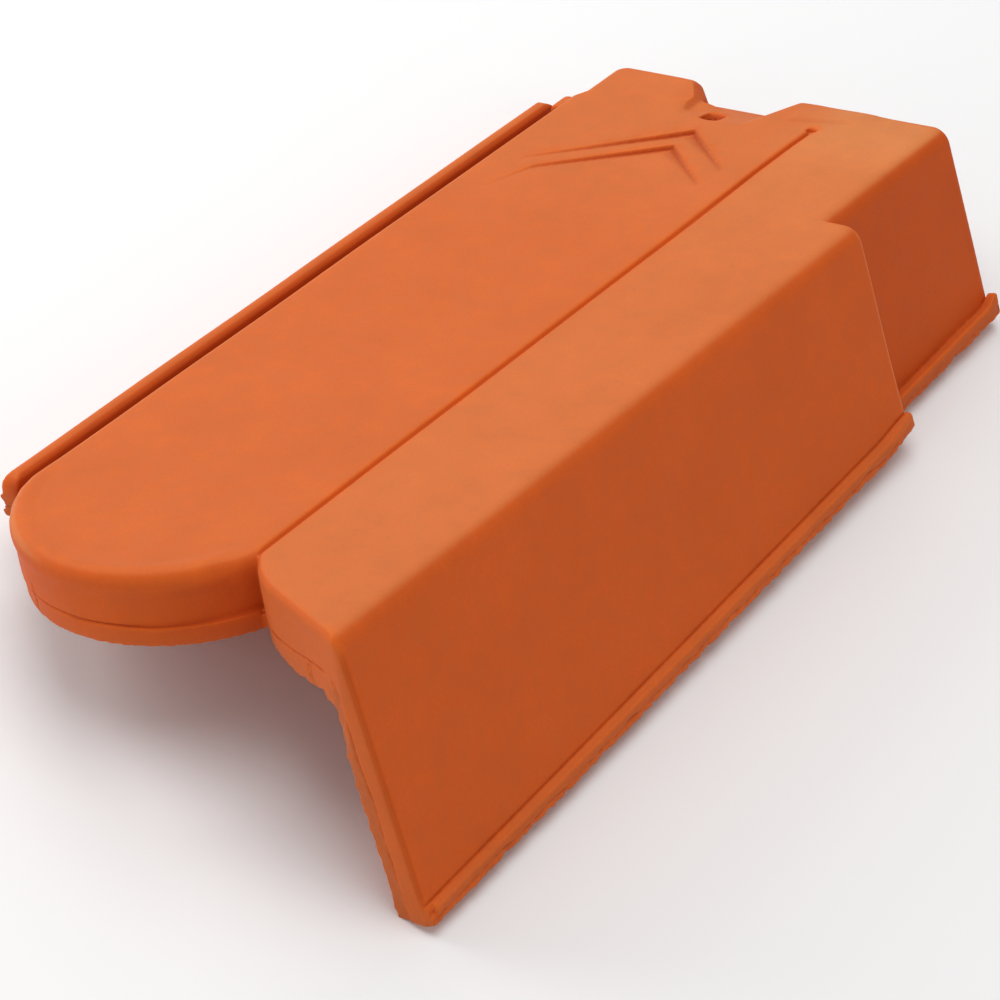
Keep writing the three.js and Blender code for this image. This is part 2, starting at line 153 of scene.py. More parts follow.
# %% A soft step between two values, and the lines of the wall and its lip
WALL_TOP_X = 74.3
WALL_DRAFT = math.tan(math.radians(9.5))
RECESS_TOP_X = 59.1
RECESS_DRAFT = math.tan(math.radians(8.3))
WALL_WIDE = 16.0
WALL_FRONT_Y = -44.5
WALL_HEAD_Y = 442.5
STEP_Y = 340.4
RECESS_FROM_Y = STEP_Y + 2
FOOT_FRONT_Z = -136.7
FOOT_HEAD_Z = -97.5
LIP_OUT = 3.2
HEAD_LIP_OUT = 6
LIP_TALL = 7.7
LIP_SLOPE = 2.6


def fade(values, span):
    start, end = span
    share = np.clip((values - start) / (end - start), 0, 1)
    return share * share * (3 - 2 * share)


def wall_face_x(points):
    front = WALL_TOP_X - WALL_DRAFT * points[:, 2]
    recess = RECESS_TOP_X - RECESS_DRAFT * points[:, 2]
    return np.where(points[:, 1] < RECESS_FROM_Y, front, recess)


def lip_reach(points):
    return np.where(points[:, 1] < RECESS_FROM_Y, LIP_OUT, HEAD_LIP_OUT)


def past_lip_root(points):
    return (points[:, 0] - wall_face_x(points)) / lip_reach(points)


def height_over_foot(points):
    along = (points[:, 1] - WALL_FRONT_Y) / (WALL_HEAD_Y - WALL_FRONT_Y)
    return points[:, 2] - (FOOT_FRONT_Z + (FOOT_HEAD_Z - FOOT_FRONT_Z) * along)


# %% Shares for the dish at the head and the wall's front corner
HOLE_X, HOLE_Y = -57.5, 414
HOLE_CLEAR = (7, 12)
DISH_X, DISH_Y = -56, 430
DISH_HALF_X, DISH_HALF_Y = 42, 26
DISH_EDGE = (1.1, 0.8)
DISH_DEEP_Z = (-11, -8)
CORNER_NEAR = (9, 5)
CORNER_TOP_Z = (-4, -14)
CORNER_TOE_Z = (-130, -122)

points = points_of(tile.data)
x, y, z = points.T
off_hole = np.hypot(x - HOLE_X, y - HOLE_Y)
from_dish = np.hypot((x - DISH_X) / DISH_HALF_X, (y - DISH_Y) / DISH_HALF_Y)
in_dish = fade(from_dish, DISH_EDGE) * fade(off_hole, HOLE_CLEAR) * fade(z, DISH_DEEP_Z)
from_corner = np.hypot(x - wall_face_x(points), y - WALL_FRONT_Y)
at_corner = fade(from_corner, CORNER_NEAR) * fade(z, CORNER_TOP_Z) * fade(z, CORNER_TOE_Z)
print("points in the dish:", int((in_dish > 0).sum()), "at the corner:", int((at_corner > 0).sum()))

# %% Shares for the front end of the lip and the upper edge of the half tail
LIP_END_Y = (WALL_FRONT_Y + 8, WALL_FRONT_Y + 4)
LIP_END_PAST_ROOT = 0.2
LIP_END_TOP = (LIP_TALL + 5, LIP_TALL + 2)
LIP_END_FOOT = (1, 4)
HALF_FROM = np.array([24, -25])
HALF_CORNER = np.array([71.5, -44.5])
HALF_EDGE_BEHIND = (11, 6)
HALF_EDGE_Z = (-13, -7)
HALF_EDGE_LEFT_X = (6, 14)
HALF_EDGE_RIGHT_X = (67, 60)
HALF_EDGE_REAR_Y = 10

above_foot = height_over_foot(points)
at_lip_end = fade(y, LIP_END_Y) * (past_lip_root(points) > LIP_END_PAST_ROOT)
at_lip_end *= fade(above_foot, LIP_END_TOP) * fade(above_foot, LIP_END_FOOT)
half_line = HALF_CORNER - HALF_FROM
half_inwards = (-half_line[1], half_line[0])
behind_half = (points[:, :2] - HALF_FROM) @ half_inwards / np.hypot(*half_line)
at_half_edge = fade(behind_half, HALF_EDGE_BEHIND) * fade(z, HALF_EDGE_Z)
at_half_edge *= fade(x, HALF_EDGE_LEFT_X) * fade(x, HALF_EDGE_RIGHT_X) * (y < HALF_EDGE_REAR_Y)
print("points along the half tail's edge:", int((at_half_edge > 0).sum()))

# %% Share for the upper edge of the nose
NOSE = np.array([-68.3, 27])
NOSE_RADIUS = 75.8
NOSE_EDGE_IN = 3
NOSE_EDGE_NEAR = (10, 2)
NOSE_EDGE_Y = (25, -5)
NOSE_EDGE_Z = (-13, -6)
NOSE_EDGE_RIGHT_X = (-6, -16)

from_nose = np.hypot(x - NOSE[0], y - NOSE[1])
off_nose_edge = np.abs(from_nose - NOSE_RADIUS + NOSE_EDGE_IN)
at_nose_edge = fade(off_nose_edge, NOSE_EDGE_NEAR) * fade(y, NOSE_EDGE_Y)
at_nose_edge *= fade(z, NOSE_EDGE_Z) * fade(x, NOSE_EDGE_RIGHT_X)
print("points along the nose's edge:", int((at_nose_edge > 0).sum()))

# %% Smooth these places once more
SOFT_ROUNDS = 36
SOFT_GROUP = "soft_places"
SOFT_STEPS = 10

soft_places = [
    (1.0, in_dish),
    (0.8, at_corner),
    (0.4, at_lip_end),
    (0.6, at_half_edge),
    (0.4, at_nose_edge),
]
soft_share = np.max([strength * place for strength, place in soft_places], axis=0)
soft_group = tile.vertex_groups.new(name=SOFT_GROUP)
for step in range(1, SOFT_STEPS + 1):
    chosen = np.flatnonzero(np.round(SOFT_STEPS * soft_share) == step)
    soft_group.add(chosen.tolist(), step / SOFT_STEPS, "REPLACE")
soften = tile.modifiers.new("soft places", "SMOOTH")
soften.factor = SMOOTH_FACTOR
soften.iterations = SOFT_ROUNDS
soften.vertex_group = SOFT_GROUP
apply_modifiers(tile)
print("points in soft places:", int((soft_share > 0.05).sum()))

# %% [markdown]
# ## Waves in the faces
#
# From here on each mark is a move of the points near one place, along one direction. It could be
# sculpted by hand, but worked out from named sizes it comes out the same on every run.
# Wet clay bends a little as it dries, so no face is quite flat. A slow noise moves every point
# along its normal. The same noise tears the rims further on: its absolute value gives lumps with
# sharp notches between them, which is what torn clay shows.

# %% A bell across a line, random lumps where they are wanted, and torn lumps
TORN_SHARP = 2.6


def bell(distance, half_width):
    return np.exp(-(distance / half_width) ** 2)


def lumps(points, size, seed, where):
    values = np.zeros(len(points))
    chosen = np.flatnonzero(where > 0)
    values[chosen] = [noise.noise(p) for p in (points[chosen] / size + seed).tolist()]
    return values


def torn(points, size, seed, where):
    return 1 - TORN_SHARP * np.abs(lumps(points, size, seed, where))


# %% Waves
WAVE = 0.3
WAVE_SIZE = 75

points = points_of(tile.data)
# These three look into the points, so they follow every later move, and moving one moves a point
x, y, z = points.T
normals = normals_of(tile.data)
normal_x, normal_y, normal_z = normals.T
everywhere = np.ones(len(points))
points += (WAVE * lumps(points, WAVE_SIZE, seed=3.1, where=everywhere))[:, None] * normals
print("waves of up to", WAVE, "mm")

# %% [markdown]
# ## A wall that leans, a full nose and a groove that drifts
#
# A deep wall springs open a little when the mould lets go, so its top stands out by about a
# millimetre. The nose's upper edge is fuller than a plain round, and the long groove wanders.
# A Lattice could bend the mesh like this. Soft steps do it with fewer parts, and they fade out
# so slowly that no ridge shows where a move ends.

# %% The wall's top leans out
WALL_TOP_OUT = 1.3
LEAN_Z = (-70, -8)
LEAN_INSIDE_FACE = (WALL_WIDE, 7)
LEAN_Y = (-20, 90)
LEAN_FROM_X = 50

inside_face = wall_face_x(points) - x
leaning = fade(z, LEAN_Z) * fade(inside_face, LEAN_INSIDE_FACE) * fade(y, LEAN_Y)
x += WALL_TOP_OUT * leaning * (y < RECESS_FROM_Y) * (x > LEAN_FROM_X)
print("points that lean:", int((leaning > 0.1).sum()))

# %% The nose's round is full, and the long groove is not quite straight
NOSE_FULLER = 1.1
GROOVE_BESIDE = (14, 6)
GROOVE_DEEP_Z = (-6, -4)
GROOVE_HEAD_Y = (430, 420)
DRIFT_Y = [0, 100, 200, 300, 370, 400, 420]
DRIFT_X = [0, -0.8, -1.2, -1.6, -2.6, -2.3, -1.4]

points += (NOSE_FULLER * at_nose_edge)[:, None] * normals
near_groove = fade(np.abs(x), GROOVE_BESIDE) * fade(z, GROOVE_DEEP_Z) * fade(y, GROOVE_HEAD_Y)
x += near_groove * np.interp(y, DRIFT_Y, DRIFT_X)
print("points along the groove:", int((near_groove > 0.1).sum()))

# %% [markdown]
# ## The mould's parting line and its seam
#
# The mould parts below the plate, so a fine line with a low rim runs round the nose and along
# the half tail, and a short upright seam shows where two side parts of the mould meet. A cut with
# a thin tube would leave a machined groove. A bell-shaped dent that wavers a little looks cast.

# %% Which points face outwards on the nose and on the half tail
UNDERSIDE = -0.6
BETWEEN_TAILS_X = 1
NOSE_REAR_Y = 40
HALF_TURNED_BACK = 0.1
HALF_LINE_END_X = (63, 57)

out_of_nose = points[:, :2] - NOSE
nose_angle = np.degrees(np.arctan2(out_of_nose[:, 1], out_of_nose[:, 0])) % 360
faces_out = ((out_of_nose * normals[:, :2]).sum(axis=1) > 0) & (normal_z > UNDERSIDE)
on_nose = faces_out & (x < BETWEEN_TAILS_X) & (y < NOSE_REAR_Y)
on_half = (x > BETWEEN_TAILS_X) & (y < 0) & (normal_y < HALF_TURNED_BACK) & (normal_z > UNDERSIDE)
on_tails = np.maximum(on_nose, on_half * fade(x, HALF_LINE_END_X))
print("points on the tails' fronts:", int((on_tails > 0).sum()))

# %% Parting line, with its low rim below it
FLAT = (1, 1, 0)
LEDGE_Z = -24.4
HALF_LINE_X = [18, 33, 47.5, 58]
HALF_LINE_Z = [-26, -25.3, -23.4, -22.4]
LINE_HALF = 0.5
LINE_DEEP = 0.7
RIM_BELOW = 1.1
RIM_PROUD = 0.4
WAVER = 0.3
WAVER_SIZE = 12

waver = WAVER * lumps(points * FLAT, WAVER_SIZE, seed=4.4, where=everywhere)
half_line_z = np.interp(x, HALF_LINE_X, HALF_LINE_Z)
line_z = waver + np.where(x < BETWEEN_TAILS_X, LEDGE_Z, half_line_z)
over_line = z - line_z
parting = bell(over_line, LINE_HALF) * on_tails
rim = bell(over_line + RIM_BELOW, LINE_HALF) * on_tails
points += (RIM_PROUD * rim - LINE_DEEP * parting)[:, None] * normals
print("points on the parting line:", int((parting > 0.1).sum()))

# %% Short upright seam, left of the nose
SEAM_ANGLE = 244.8
SEAM_HALF = 0.55
SEAM_DEEP = 1.0
SEAM_TOP_Z = (-18, -21)
SEAM_FOOT_Z = (-36, -31)

past_seam = np.radians(nose_angle - SEAM_ANGLE) * np.hypot(*out_of_nose.T)
seam = bell(past_seam, SEAM_HALF) * on_nose
seam *= fade(z, SEAM_TOP_Z) * fade(z, SEAM_FOOT_Z)
points -= (SEAM_DEEP * seam)[:, None] * normals
print("points in the seam:", int((seam > 0.1).sum()))

# %% [markdown]
# ## Folds on the half tail
#
# Where two lumps of wet clay met in the press they closed up without quite joining. Below the
# half tail's parting line this shows as two short creases with a swollen lip on one side. Each is
# drawn as straight runs on the front, x across and z up, with a dent along the run and a ridge
# beside it.

# %% Two folds, the first with a bend
FOLDS = [
    ((45.3, -26.5), (44.4, -30.6)),
    ((44.4, -30.6), (46.3, -35.5)),
    ((65.9, -24.5), (64.6, -32.4)),
]
FOLD_HALF = 0.5
FOLD_DEEP = 1.0
FOLD_RIDGE = 0.7
FOLD_START = (-0.2, 0.1)
FOLD_END = (1.15, 0.95)
FACES_FRONT = -0.4

on_front_faces = (normal_y < FACES_FRONT) & (y < 0)
for start, end in FOLDS:
    run = np.array(end) - start
    length = np.hypot(*run)
    beside = points[:, [0, 2]] - start
    share = beside @ run / length ** 2
    aside = (beside[:, 1] * run[0] - beside[:, 0] * run[1]) / length
    near = fade(share, FOLD_START) * fade(share, FOLD_END) * on_front_faces
    crease = bell(aside, FOLD_HALF)
    ridge = bell(aside - 3 * FOLD_HALF, 2 * FOLD_HALF)
    points += ((FOLD_RIDGE * ridge - FOLD_DEEP * crease) * near)[:, None] * normals
print("runs of folds:", len(FOLDS))

# %% [markdown]
# ## The pressed chevrons
#
# Two shallow V marks turn rain away from the nail hole. Each starts as a ramp from the front and
# ends in a steep rear edge, deepest at its apex and running out to nothing at both ends. The solid
# already has them, softened by the smoothing. A boolean cut would bring hard edges back, so the
# ramp is only deepened by up to a millimetre, and the foot of the steep edge is kept for painted shade.

# %% Deepen the chevrons in front of their steep rear edge
CHEVRONS = [
    [(-120, 341), (-56, 396), (-18, 365)],
    [(-118, 312), (-109, 336), (-56.5, 378.5), (-20, 348.5)],
]
CHEVRON_EXTRA = 1.0
CHEVRON_RAMP = 9
CHEVRON_REAR = -0.2
LEFT_FOOT_HALF, RIGHT_FOOT_HALF = 0.9, 1.9
LEFT_FOOT_Y, RIGHT_FOOT_Y = 0.3, 1.2
FACES_UP = 0.2
TOP_FROM_Z = -5

on_top = (normal_z > FACES_UP) & (z > TOP_FROM_Z)
pressed = np.zeros(len(points))
scarp = np.zeros(len(points))
for corners in CHEVRONS:
    line_x, line_y = np.array(corners).T
    apex_x = line_x[line_y.argmax()]
    on_left = x < apex_x
    ends_x = np.where(on_left, line_x[0], line_x[-1])
    share = np.clip((x - ends_x) / (apex_x - ends_x), 0, 1)
    in_front = np.interp(x, line_x, line_y) - y
    ramp = np.clip(1 - in_front / CHEVRON_RAMP, 0, 1) * (in_front > CHEVRON_REAR)
    pressed = np.maximum(pressed, ramp * np.sqrt(share) * on_top)
    # The foot of each steep edge marks where painted shade goes
    foot_half = np.where(on_left, LEFT_FOOT_HALF, RIGHT_FOOT_HALF)
    foot_y = np.where(on_left, LEFT_FOOT_Y, RIGHT_FOOT_Y)
    scarp = np.maximum(scarp, bell(in_front - foot_y, foot_half) * np.sqrt(share) * on_top)
z -= CHEVRON_EXTRA * pressed
print("points in the chevrons:", int((pressed > 0.1).sum()))

# %% [markdown]
# ## The head: nail hole, groove's end, dish and tab
#
# A peg pushes the nail hole through the wet clay from above, so its mouth is flared and its far
# walls slope. The groove ends in a small deeper hook, the left flank of the dish climbs less
# steeply than a cut would, and the rear of the right tab stands up behind a faint crease. All four
# are small moves on forms that the solid has, so no new pieces are needed.

# %% Flare the nail hole's mouth and slope its far walls
HOLE_FLARE = np.array([0.7, 2.2])
FLARE_NEAR = (11, 5)
FLARE_Z = (-7, -1)
HOLE_SLOPE = 3
HOLE_CORE = 2
HOLE_WALL = 7.5
HOLE_DOWN_Z = (-2, -9)
HOLE_STEEP = 0.6
LEAST_DISTANCE = 0.1

from_hole = points[:, :2] - (HOLE_X, HOLE_Y)
hole_distance = np.maximum(np.hypot(*from_hole.T), LEAST_DISTANCE)
flare = fade(hole_distance, FLARE_NEAR) * fade(z, FLARE_Z) / hole_distance
points[:, :2] += HOLE_FLARE * flare[:, None] * from_hole
down_hole = fade(z, HOLE_DOWN_Z) * (hole_distance < HOLE_WALL) * (normal_z < HOLE_STEEP)
x += HOLE_SLOPE * down_hole * (from_hole[:, 0] < -HOLE_CORE)
y -= HOLE_SLOPE * down_hole * (from_hole[:, 1] > HOLE_CORE)
print("points in the hole:", int((down_hole > 0).sum()))

# %% Deepen the groove's hook and ease the dish's left flank
HOOK_X, HOOK_Y = -0.4, 417.6
HOOK_HALF_X, HOOK_HALF_Y = 2.6, 1.4
HOOK_EXTRA = 0.5
FLANK_Y = [418.5, 427, 442.5]
FLANK_RISE = [0, 2.3, 0]
FLANK_X = (-60, -72)
FLANK_REACH = 1.3
FLANK_LEFT_X = -110

in_hook = (np.abs(x - HOOK_X) < HOOK_HALF_X) & (np.abs(y - HOOK_Y) < HOOK_HALF_Y) & on_top
z -= HOOK_EXTRA * in_hook
flank_rise = np.interp(y, FLANK_Y, FLANK_RISE) * fade(x, FLANK_X)
raised = np.minimum(z + flank_rise * (from_dish < FLANK_REACH), np.maximum(z, 0))
z[:] = np.where(on_top & (x > FLANK_LEFT_X), raised, z)
print("points in the hook:", int(in_hook.sum()))

# %% Raise the right tab's rear behind its crease
TAB_CREASE_X, TAB_CREASE_Y = -18, 421.9
TAB_CREASE_SLOPE = 0.276
TAB_RISE = 0.7
TAB_FRONT = (-3, 2)
TAB_REAR = (16, 6)
TAB_LEFT_X = (-22, -14)
TAB_RIGHT_X = (30, 8)

past_crease = y - TAB_CREASE_Y - TAB_CREASE_SLOPE * (x - TAB_CREASE_X)
tab_rear = fade(past_crease, TAB_FRONT) * fade(past_crease, TAB_REAR) * on_top
z += TAB_RISE * tab_rear * fade(x, TAB_LEFT_X) * fade(x, TAB_RIGHT_X)
print("points on the tab's rear:", int((tab_rear > 0.1).sum()))

# %% [markdown]
# ## The front of the wall
#
# The narrow front of the wall is where the mould was closed and the spare clay pulled off. A line
# runs down it, and the strip inside that line is set back and torn along its inner edge. The
# noise is stretched along the wall, so the tears are longer than they are wide.

# %% A line down the wall's front, and its torn inner edge
UPRIGHT = (0, 0.3, 1)
FRONT_Y = (WALL_FRONT_Y + 9, WALL_FRONT_Y + 3)
FRONT_TOP_Z = (-24, -32)
FRONT_TOE_Z = (-128, -108)
WALL_SIDE_X = 40
FRONT_LINE_IN = 6
FRONT_LINE_HALF = 0.7
FRONT_LINE_DEEP = 0.7
FRONT_LINE_WANDER, WANDER_SIZE = 1.2, 21
BAND_SET_BACK = 0.4
BAND_LUMPS, BAND_LUMP_SIZE = 0.9, 6
INNER_EDGE = (4, 0.5)
FRONT_TORN = 1.1

upright = points * UPRIGHT
across = x - (wall_face_x(points) - WALL_WIDE)
on_front = fade(y, FRONT_Y) * fade(z, FRONT_TOP_Z)
on_front *= x > WALL_SIDE_X
line_in = FRONT_LINE_IN + FRONT_LINE_WANDER * lumps(upright, WANDER_SIZE, seed=9.2, where=on_front)
front_line = bell(across - line_in, FRONT_LINE_HALF) * on_front * fade(z, FRONT_TOE_Z)
torn_band = on_front * fade(across, (line_in + 0.5, line_in - 2))
y += FRONT_LINE_DEEP * front_line
band_lumps = BAND_LUMPS * lumps(points, BAND_LUMP_SIZE, seed=6.1, where=torn_band)
y += torn_band * (BAND_SET_BACK + band_lumps)
inner_edge = on_front * fade(across, INNER_EDGE)
ragged = 0.7 * torn(upright, size=23, seed=1.7, where=inner_edge)
ragged += 0.6 * torn(upright, size=6.5, seed=5.3, where=inner_edge)
x -= FRONT_TORN * inner_edge * ragged
print("points on the torn front:", int((torn_band > 0.1).sum()))

# %% [markdown]
# ## The trimmed foot of the tails and of the side lock
#
# The foot of the tails is trimmed with a wire while the clay is soft, so it wavers, and at the
# half tail a piece is torn out. The front of the side lock is trimmed shorter, and two flakes of
# flash stand out at its corner. Only the points near the foot move, up or down, and noise read
# on the plan (x and y alone) keeps both sides of a rim together.

# %% Ragged foot of the tails and the side lock
SKIRT_FOOT_Z = -34
SKIRT_NEAR_Z = (SKIRT_FOOT_Z + 7, SKIRT_FOOT_Z + 0.5)
SKIRT_BELOW = 8
SKIRT_RIGHT_X = (58, 52)
SKIRT_TRIM = 0.4

flat_points = points * FLAT
near_foot = fade(z, SKIRT_NEAR_Z) * (z > SKIRT_FOOT_Z - SKIRT_BELOW)
near_foot *= fade(x, SKIRT_RIGHT_X)
ragged = 0.7 * lumps(flat_points, size=16, seed=5.7, where=near_foot)
ragged += 0.6 * torn(flat_points, size=6, seed=8.3, where=near_foot)
z += SKIRT_TRIM * near_foot * ragged
print("points trimmed along the tails:", int((near_foot > 0).sum()))

# %% Torn foot of the half tail
HALF_FOOT_X = [8, 20, 32, 40, 43.5, 48, 53, 55.5, 57.5, 63]
HALF_FOOT_RISE = [1, 0.8, -1.3, 0.3, -0.7, 1.2, 2.2, 2, -1.8, -1]
HALF_FOOT_Z = (-29, -35)
HALF_FOOT_LOWEST_Z = -42
HALF_FOOT_REAR_Y = 20
HALF_FOOT_LEFT_X = (4, 8)
HALF_FOOT_RIGHT_X = (66, 60)
HALF_TORN, HALF_TORN_SIZE = 0.6, 7

at_half_foot = fade(z, HALF_FOOT_Z) * (y < HALF_FOOT_REAR_Y) * fade(x, HALF_FOOT_LEFT_X)
at_half_foot *= fade(x, HALF_FOOT_RIGHT_X) * (z > HALF_FOOT_LOWEST_Z)
rise = np.interp(x, HALF_FOOT_X, HALF_FOOT_RISE)
ragged = HALF_TORN * torn(flat_points, HALF_TORN_SIZE, seed=3.6, where=at_half_foot)
z += at_half_foot * (rise + ragged)
print("points in the torn foot:", int((at_half_foot > 0).sum()))

# %% Front of the side lock: trimmed short below, with two flakes of flash at its corner
LOCK_FRONT_RISE = 4.5
LOCK_RIGHT_X = (-138, -142)
LOCK_FRONT_Y = (34, 12)
LOCK_LOW_Z = (-22, -33)
FLAKE_Z = [-16, -18, -19.4, -22, -25.2, -26.6, -29]
FLAKE_OUT = [0, 0.4, 2.4, 0.3, 0.2, 2.2, 1.2]
FLAKE_NEAR_Y = (17, 12)
FLAKE_NEAR_X = (-154, -160)
FLAKE_PAINT_Z = (-15, -18)

at_lock_front = fade(x, LOCK_RIGHT_X) * fade(y, LOCK_FRONT_Y)
z += LOCK_FRONT_RISE * at_lock_front * fade(z, LOCK_LOW_Z)
burr = fade(y, FLAKE_NEAR_Y) * fade(x, FLAKE_NEAR_X)
x -= burr * np.interp(-z, -np.array(FLAKE_Z), FLAKE_OUT)
burr *= fade(z, FLAKE_PAINT_Z)
print("points in the flakes:", int((burr > 0.1).sum()))

# %% [markdown]
# ## The lip along the wall's foot
#
# A lip stands out along the foot of the wall and throws the rain off. Its root is a sharp crease
# and its upper edge is crisp, both finer than the smoothing left them, so they are drawn again by
# bells across the line. At the front the lip's end is low and round. At the step and at the head
# it turns up, where the clay was lifted as the mould's end came away.

# %% Crisp root and upper edge of the lip
LIP_SIDE_X = 55
ROOT_DEEP = 0.7
ROOT_HALF = 0.8
LIP_EDGE_IN = 0.6
LIP_EDGE_HALF = 1.4
LIP_EDGE_PROUD = 0.4

above_foot = height_over_foot(points)
beyond_face = x - wall_face_x(points)
past_root = past_lip_root(points)
reach = lip_reach(points)
on_right = x > LIP_SIDE_X
above_root = above_foot - LIP_TALL - np.where(y < RECESS_FROM_Y, LIP_SLOPE, 0)
root = bell(beyond_face, ROOT_HALF) * bell(above_root, ROOT_HALF) * on_right
x -= ROOT_DEEP * root
z -= ROOT_DEEP * root
from_edge = np.hypot(beyond_face - reach + LIP_EDGE_IN, above_foot - LIP_TALL)
lip_edge = bell(from_edge, LIP_EDGE_HALF) * on_right
x += LIP_EDGE_PROUD * lip_edge
z += LIP_EDGE_PROUD * lip_edge
print("points in the lip's root:", int((root > 0.1).sum()))

# %% Low front end, a slight lean, and the ends that turn up at the head and at the step
LIP_FRONT_Y = (-38.5, -40)
LIP_FRONT_DROP = 2.4
LIP_LEAN = 0.6
HEAD_END_Y = (WALL_HEAD_Y - 9, WALL_HEAD_Y - 1)
HEAD_END_UP = 4
STEP_END_Y = (STEP_Y - 9, STEP_Y - 2)
STEP_TURN_Y = (STEP_Y - 28, STEP_Y - 2)
STEP_END_IN = 0.6
STEP_END_UP = 2.8
STEP_FACE_Y = STEP_Y + 3

lip_top = fade(above_foot, (3, LIP_TALL - 1)) * fade(above_root, (3, 1))
front_end = lip_top * fade(past_root, (0, 0.3)) * fade(y, LIP_FRONT_Y)
z -= LIP_FRONT_DROP * front_end
x -= LIP_LEAN * fade(above_foot, (2.5, 7)) * fade(past_root, (0.35, 0.8)) * on_right
head_end = fade(y, HEAD_END_Y) * fade(beyond_face, (-0.5, 1)) * on_right
z += HEAD_END_UP * head_end * fade(above_foot, (2, 7))
step_end = fade(above_root, (2, -1)) * fade(y, STEP_END_Y)
step_end *= on_right & (y < STEP_FACE_Y)
x -= STEP_END_IN * step_end * fade(past_root, (0.2, 0.8))
turn_up = fade(y, STEP_TURN_Y) * (y < STEP_FACE_Y)
turn_up = turn_up * fade(beyond_face, (-1.5, 1.2)) * fade(above_root, (8, 1)) * on_right
z += STEP_END_UP * turn_up
print("points in the lip's ends:", int((front_end > 0).sum() + (step_end > 0).sum()))

# %% [markdown]
# ## The wall's ragged foot
#
# Clay that squeezed out between the halves of the mould was broken off along the foot. It leaves
# a strip that sits a little behind the lip's face, with a fine line above it, and notches in the
# lower edge. The notches only cut upwards, so the tile still stands on the same plane.

# %% Notched foot, and a strip of set-back flash with a line above it
ALONG_FOOT = (0.25, 1, 0)
FOOT_NEAR = (5, 0.5)
FOOT_TRIM = 1.1
FOOT_LEVEL = 0.6
FOOT_FRONT_Y = (-46, -30)
FLASH_TALL = 4.0
FLASH_WAVER, FLASH_WAVER_SIZE = 1.2, 13
FLASH_HIGHEST = 6.5
FLASH_PAST_ROOT = 0.4
FLASH_FACES_RIGHT = 0.3
FLASH_IN = 0.45
FLASH_LUMPS, FLASH_LUMP_SIZE = 0.8, 4
FLASH_LINE, FLASH_LINE_HALF = 0.25, 0.6
FLASH_SOFT = 0.4

along_foot = points * ALONG_FOOT
at_foot = fade(above_foot, FOOT_NEAR) * (x > WALL_SIDE_X)
at_flash = (above_foot < FLASH_HIGHEST) & (past_root > FLASH_PAST_ROOT) & (normal_x > FLASH_FACES_RIGHT)
ragged = 1.1 * torn(along_foot, size=11, seed=2.9, where=at_foot)
ragged += 0.5 * torn(along_foot, size=4.5, seed=7.7, where=at_foot)
z += FOOT_TRIM * at_foot * np.maximum(FOOT_LEVEL - ragged, 0) * fade(y, FOOT_FRONT_Y)
flash_top = FLASH_TALL + FLASH_WAVER * lumps(along_foot, FLASH_WAVER_SIZE, seed=1.3, where=at_flash)
flash = fade(above_foot, (flash_top + FLASH_SOFT, flash_top - FLASH_SOFT)) * at_flash
x -= flash * (FLASH_IN + FLASH_LUMPS * lumps(points, FLASH_LUMP_SIZE, seed=6.6, where=flash))
x -= FLASH_LINE * bell(above_foot - flash_top, FLASH_LINE_HALF) * at_flash
set_points(tile.data, points)
print("points trimmed along the wall:", int((at_foot > 0).sum()))

# %% [markdown]
# ## Numbers for the paint
#
# The colour of clay follows its shape, and light and shade are partly painted into it: a painted
# sheen on the plate's top and the half tail's front, painted highlights on rounded edges and a few
# rims, painted shade in grooves, hollows and on faces turned from the light, and torn rims that are
# rough and greyer, with a painted reflection on the lip's outer face. Each of these could be painted
# by hand as vertex colour. Here each is worked out as one number per point and kept in the mesh,
# where the material can read it. How far a strong smoothing would move a point tells whether it
# lies in a hollow or on an edge.

# %% How far each point stands proud of its surroundings
PROBE_ROUNDS = 12


def smoothed_points(piece, rounds):
    probe = piece.modifiers.new("probe", "SMOOTH")
    probe.factor = SMOOTH_FACTOR
    probe.iterations = rounds
    shown = piece.evaluated_get(bpy.context.evaluated_depsgraph_get())
    moved = points_of(shown.to_mesh())
    shown.to_mesh_clear()
    piece.modifiers.remove(probe)
    return moved


normals = normals_of(tile.data)
normal_x, normal_y, normal_z = normals.T
proud = ((points - smoothed_points(tile, PROBE_ROUNDS)) * normals).sum(axis=1)
above_foot = height_over_foot(points)
past_root = past_lip_root(points)
print("proudest and deepest, mm:", round(proud.max(), 2), round(proud.min(), 2))

# %% Painted sheen on the plate's top and the half tail's front, and painted highlights on rims
TOP_PAINTED_SHEEN = 0.32
HEAD_PAINTED_SHEEN = 0.2
HALF_PAINTED_SHEEN = 0.22
TAB_PAINTED_SHEEN = 0.3
FRONT_PAINTED_SHEEN = 0.22
LEFT_RIM_HIGHLIGHT = 0.8
LIP_HIGHLIGHT = 0.25

on_rail = (x < -150) & (z > -12)
# Painted sheen: faces that look up are paler, more so towards the head, on the half tail and on the
# right tab
faces_up = fade(normal_z, (0.7, 0.97)) * np.maximum(fade(z, (-9, -4)), on_rail)
top_painted_sheen = TOP_PAINTED_SHEEN + HEAD_PAINTED_SHEEN * fade(y, (250, 400)) + HALF_PAINTED_SHEEN * fade(x, (-3, 3))
top_painted_sheen += TAB_PAINTED_SHEEN * fade(y, (370, 430)) * fade(x, (-25, 5))
# Painted sheen on the half tail's front face
front_painted_sheen = FRONT_PAINTED_SHEEN * fade(normal_y, (-0.5, -0.8)) * fade(x, (2, 10))
